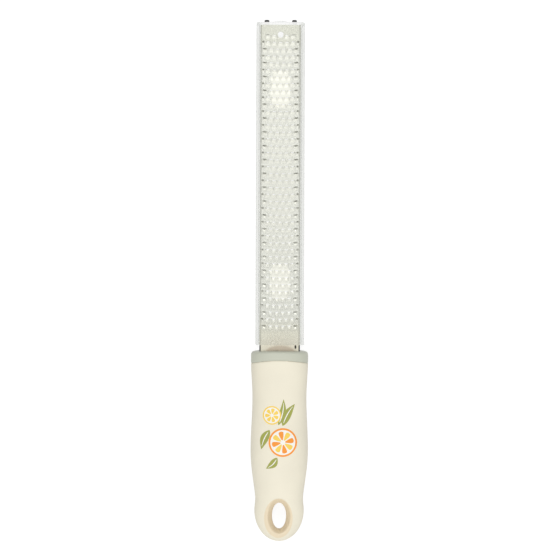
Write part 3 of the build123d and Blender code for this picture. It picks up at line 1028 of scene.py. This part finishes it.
class MakeCollar(bpy.types.Operator):
    """Hard collar with a rounded rim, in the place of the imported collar"""

    bl_idname = "zester.make_collar"
    bl_label = "Collar"

    def execute(self, context):
        handle = context.scene.zester_handle
        rim_share = handle.rim / handle.collar
        rounds = np.linspace(0, pi / 2, 7)
        straight = np.linspace(0, 1, 9)[:-1] * (1 - rim_share)
        shares = np.concatenate([straight, 1 - rim_share + rim_share * np.sin(rounds)])
        insets = np.concatenate([0 * straight, (1 - np.cos(rounds)) * handle.rim])
        insets[0] = SEAM_GROOVE
        seam = (handle.grip + SEAM_GAP, handle.seam_radius)
        front = (handle.grip + handle.collar, handle.front_radius)
        piece = new_piece("hard_collar", *handle_skin(handle, shares, insets, seam, front))
        finish = {"roughness": 0.38, "grain": 0.2 * MM, "relief": 0.008 * MM}
        dress(piece, plastic_finish("hard_plastic", context.scene.zester_colours.collar, **finish))
        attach(piece, "handle")
        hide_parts("collar")
        return {"FINISHED"}


# Print


# Fruit slices in millimetres: middle, radii of the rim, segments, first and half turn, radii of the segments
BIG_SLICE = ((2.2, 64.0), (7.7, 8.8), 8, 0.2, 0.3, (1.3, 6.9))
SMALL_SLICE = ((-4.6, 80.6), (4.9, 5.7), 7, 0.5, 0.34, (0.9, 4.3))

# Leaves in millimetres: base, tip, half width and bend; and a vein's half width and its span on the leaf
LEAVES = (
    ((2.0, 74.2), (9.6, 87.6), 2.6, 0.9),
    ((-0.6, 74.6), (2.6, 90.6), 2.1, -1.1),
    ((-6.0, 71.6), (-11.2, 59.4), 2.5, -0.9),
    ((-1.2, 54.6), (-8.2, 47.6), 2.3, 1.0),
)
VEIN_HALF_WIDTH = 0.3
VEIN_SPAN = (0.12, 0.86)

# How far a layer of ink reaches into the grip, and how far the layers stand out of it
INK_ROOT = 0.1 * MM
LOW_INK, MIDDLE_INK, TOP_INK = 0.05 * MM, 0.07 * MM, 0.09 * MM


def on_front(x, s, handle, height):
    """Points over the handle's front: z = middle + h (1 - |x / w|^p)^(1/p), raised by a height."""
    w, middle, h, power = station_sizes(s, handle)
    z = middle + h * np.maximum(1 - np.abs(x / w) ** power, 0) ** (1 / power)
    return np.stack([x, along(s), z + lift + height], -1)


def ring_patch(middle, inner, outer):
    """Ring or disc: turns against radii."""
    t, r = np.meshgrid(np.linspace(0, 2 * pi, 49), np.linspace(inner, outer, 4))
    return middle[0] + r * np.cos(t), middle[1] + r * np.sin(t)


def wedge_patch(middle, turn, half_turn, inner, outer):
    """Segment of a fruit: a square bent into a wedge, rounded in part by a' = a sqrt(1 - b^2 / 2)."""
    round_share, square_scale = 0.55, 0.93
    a, b = np.meshgrid(np.linspace(-1, 1, 9), np.linspace(-1, 1, 9))
    discs = a * np.sqrt(1 - b**2 / 2), b * np.sqrt(1 - a**2 / 2)
    a, b = [(1 - round_share) * square_scale * c + round_share * d for c, d in zip((a, b), discs)]
    r = (inner + outer) / 2 + b * (outer - inner) / 2
    t = turn - a * half_turn
    return middle[0] + r * np.cos(t), middle[1] + r * np.sin(t)


def leaf_patch(base, tip, half_width, bend, low=0.0, high=1.0):
    """Leaf from base to tip: half width times sin(pi t^0.8), on a centre line bowed by bend sin(pi t)."""
    base, tip = np.array(base), np.array(tip)
    v, t = np.meshgrid(np.linspace(-1, 1, 7), np.linspace(low, high, 25))
    way = tip - base
    across = np.array([-way[1], way[0]]) / np.hypot(*way)
    off = bend * np.sin(pi * t) + v * half_width * np.sin(pi * t**0.8)
    return base[0] + way[0] * t + across[0] * off, base[1] + way[1] * t + across[1] * off


def slice_patches(middle, rim, count, first_turn, half_turn, flesh):
    """Pith, rim and list of segments of a fruit slice; the pith reaches a little under the rim."""
    overlap = 0.1
    turns = [k * 2 * pi / count + first_turn for k in range(count)]
    segments = [wedge_patch(middle, turn, half_turn, *flesh) for turn in turns]
    return ring_patch(middle, 0, rim[0] + overlap), ring_patch(middle, *rim), segments


def ink(name, patches, height, rgb):
    """Thin closed layers of ink on the handle's front, one for each patch."""
    handle = bpy.context.scene.zester_handle
    layers = []
    for x, y in patches:
        flat = np.stack([x, y], -1)
        area = np.cross(np.diff(flat, axis=1)[:-1], np.diff(flat, axis=0)[:, :-1]).sum()
        quads = grid_quads(*x.shape)
        quads = quads[:, ::-1] if area < 0 else quads
        top, low = [on_front(x * MM, y * MM, handle, h).reshape(-1, 3) for h in (height, -INK_ROOT)]
        top, low, quads = joined(top, low, quads)
        layers.append(shell(quads, top, low))
    piece = new_piece(name, *stacked(layers), 30)
    dress(piece, plastic_finish(name, rgb, roughness=0.5, grain=0.3 * MM, relief=0.008 * MM))
    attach(piece, "handle")


class PrintMotif(bpy.types.Operator):
    """Generic printed motif on the grip: two fruit slices and four leaves"""

    bl_idname = "zester.print_motif"
    bl_label = "Printed motif"

    def execute(self, context):
        colours = context.scene.zester_colours
        pith, rim, segments = slice_patches(*BIG_SLICE)
        small_pith, small_rim, small_segments = slice_patches(*SMALL_SLICE)
        leaves = [leaf_patch(*leaf) for leaf in LEAVES]
        veins = [leaf_patch(base, tip, VEIN_HALF_WIDTH, bend, *VEIN_SPAN) for base, tip, _, bend in LEAVES]
        yellow = [small_rim, *small_segments, *segments[1::2]]
        ink("print_leaves", leaves, LOW_INK, colours.print_olive)
        ink("print_pith", [pith, small_pith, *veins], MIDDLE_INK, colours.print_white)
        ink("print_orange", [rim, *segments[::2]], TOP_INK, colours.print_orange)
        ink("print_yellow", yellow, TOP_INK, colours.print_yellow)
        return {"FINISHED"}


class FinishHiddenParts(bpy.types.Operator):
    """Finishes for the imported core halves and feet, whose shapes stay"""

    bl_idname = "zester.finish_hidden_parts"
    bl_label = "Core and feet"

    def execute(self, context):
        colours = context.scene.zester_colours
        core = plastic_finish("core_plastic", colours.core, roughness=0.5, grain=0.3 * MM, relief=0.01 * MM)
        foot = plastic_finish("foot_rubber", colours.foot, roughness=0.6, grain=0.25 * MM, relief=0.01 * MM)
        finishes = {"core_front": core, "core_back": core, "foot_left": foot, "foot_right": foot}
        for node, mat in finishes.items():
            dress(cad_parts[node], mat)
        return {"FINISHED"}


# Stage


# Half width of the floor, how far it lies under the tool, and how far the lens is from the tool's middle
FLOOR_HALF = 3
FLOOR_DROP = 0.2 * MM
CAMERA_SIDE = 0.1 * MM


class MakeStage(bpy.types.Operator):
    """Pale floor, soft studio light and the camera"""

    bl_idname = "zester.make_stage"
    bl_label = "Stage"

    def execute(self, context):
        stage = context.scene.zester_stage
        corners = np.array([[-1, -1, 0], [1, -1, 0], [1, 1, 0], [-1, 1, 0]]) * FLOOR_HALF
        floor = new_piece("floor", corners - [0, 0, FLOOR_DROP], np.array([[0, 1, 2, 3]]))
        dress(floor, floor_finish())
        studio_world(stage)
        lamp("softbox", place=(-0.02, 0.25, 1.3), target=(0, 0, 0), size=0.9, power=1.2)
        lamp("lip_light", place=(0, -0.75, 0.75), target=(0, 0.06, 0), size=0.55, power=1.5)
        camera = placed("camera", bpy.data.cameras.new("camera"))
        camera.data.lens = 68.4
        camera.data.sensor_width = 36
        camera.data.clip_start = 0.01
        camera.location = (CAMERA_SIDE, 0, stage.camera_height)
        camera.rotation_euler = (0, 0, stage.lean)
        context.scene.camera = camera
        context.scene.view_settings.view_transform = "Standard"
        return {"FINISHED"}


def floor_finish():
    """Matt grey floor that the camera, metal and glass see near white; it keeps the tool's shadow."""
    mat, shader, output, add, feed = material("pale_floor")
    feed(shader, Base_Color=(0.6, 0.6, 0.6, 1), Roughness=1, Specular_IOR_Level=0)
    glow = add("Emission", Color=(1, 1, 1, 1), Strength=0.82)
    lit = add("BsdfDiffuse", Color=(0.3, 0.3, 0.3, 1))
    seen = add("AddShader", _0=glow.outputs[0], _1=lit.outputs[0])
    path = add("LightPath").outputs
    rays = [path["Is Camera Ray"], path["Is Transmission Ray"], path["Is Glossy Ray"]]
    mixed = add("MixShader", _0=combined(add, "MAXIMUM", *rays), _1=shader.outputs[0], _2=seen.outputs[0])
    feed(output, Surface=mixed.outputs[0])
    return mat


def studio_world(stage):
    """World light that grows from horizon to zenith; the camera sees white, and gloss sees it part white."""
    zenith_up = 0.9
    world = bpy.data.worlds.new("studio")
    bpy.context.scene.world = world
    world.use_nodes = True
    add, feed = node_tools(world.node_tree)
    up = add("SeparateXYZ", _0=add("TexCoord").outputs["Generated"]).outputs[2]
    light = mapped(add, up, 0, zenith_up, stage.horizon, stage.zenith)
    path = add("LightPath").outputs
    gleam = combined(add, "MULTIPLY", path["Is Glossy Ray"], stage.gleam)
    white = combined(add, "MAXIMUM", gleam, path["Is Camera Ray"])
    strength = add("Mix", _0=white, _2=light, _3=1.0).outputs[0]
    feed(world.node_tree.nodes["Background"], Color=(1, 1, 1, 1), Strength=strength)


def lamp(name, place, target, size, power):
    """Square area lamp at a place, turned to a target."""
    light = placed(name, bpy.data.lights.new(name, "AREA"))
    light.data.size = size
    light.data.energy = power
    light.location = place
    light.rotation_euler = (Vector(target) - Vector(place)).to_track_quat("-Z", "Y").to_euler()


STEPS = (MakeBlade, MakeCover, MakeGrip, MakeCollar, PrintMotif, FinishHiddenParts, MakeStage)


class ZesterPanel(bpy.types.Panel):
    """Lists the steps that build the zester"""

    bl_idname = "VIEW3D_PT_zester"
    bl_label = "Rasp zester"
    bl_space_type = "VIEW_3D"
    bl_region_type = "UI"
    bl_category = "Zester"

    def draw(self, context):
        for step in STEPS:
            self.layout.operator(step.bl_idname)
        for name in GROUPS:
            group = getattr(context.scene, name)
            for key in group.__annotations__:
                self.layout.prop(group, key)


def register():
    """Registers the groups, steps and panel, and hangs each group on the scene."""
    for kind in (*GROUPS.values(), *STEPS, ZesterPanel):
        bpy.utils.register_class(kind)
    for name, kind in GROUPS.items():
        setattr(bpy.types.Scene, name, PointerProperty(type=kind))


def unregister():
    """Takes away what register added, in the opposite order."""
    for name in GROUPS:
        delattr(bpy.types.Scene, name)
    for kind in (ZesterPanel, *reversed(STEPS), *reversed(GROUPS.values())):
        bpy.utils.unregister_class(kind)


def main():
    """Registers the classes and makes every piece."""
    register()
    bpy.ops.zester.make_blade()
    bpy.ops.zester.make_cover()
    bpy.ops.zester.make_grip()
    bpy.ops.zester.make_collar()
    bpy.ops.zester.print_motif()
    bpy.ops.zester.finish_hidden_parts()
    bpy.ops.zester.make_stage()


if __name__ == "__main__":
    main()
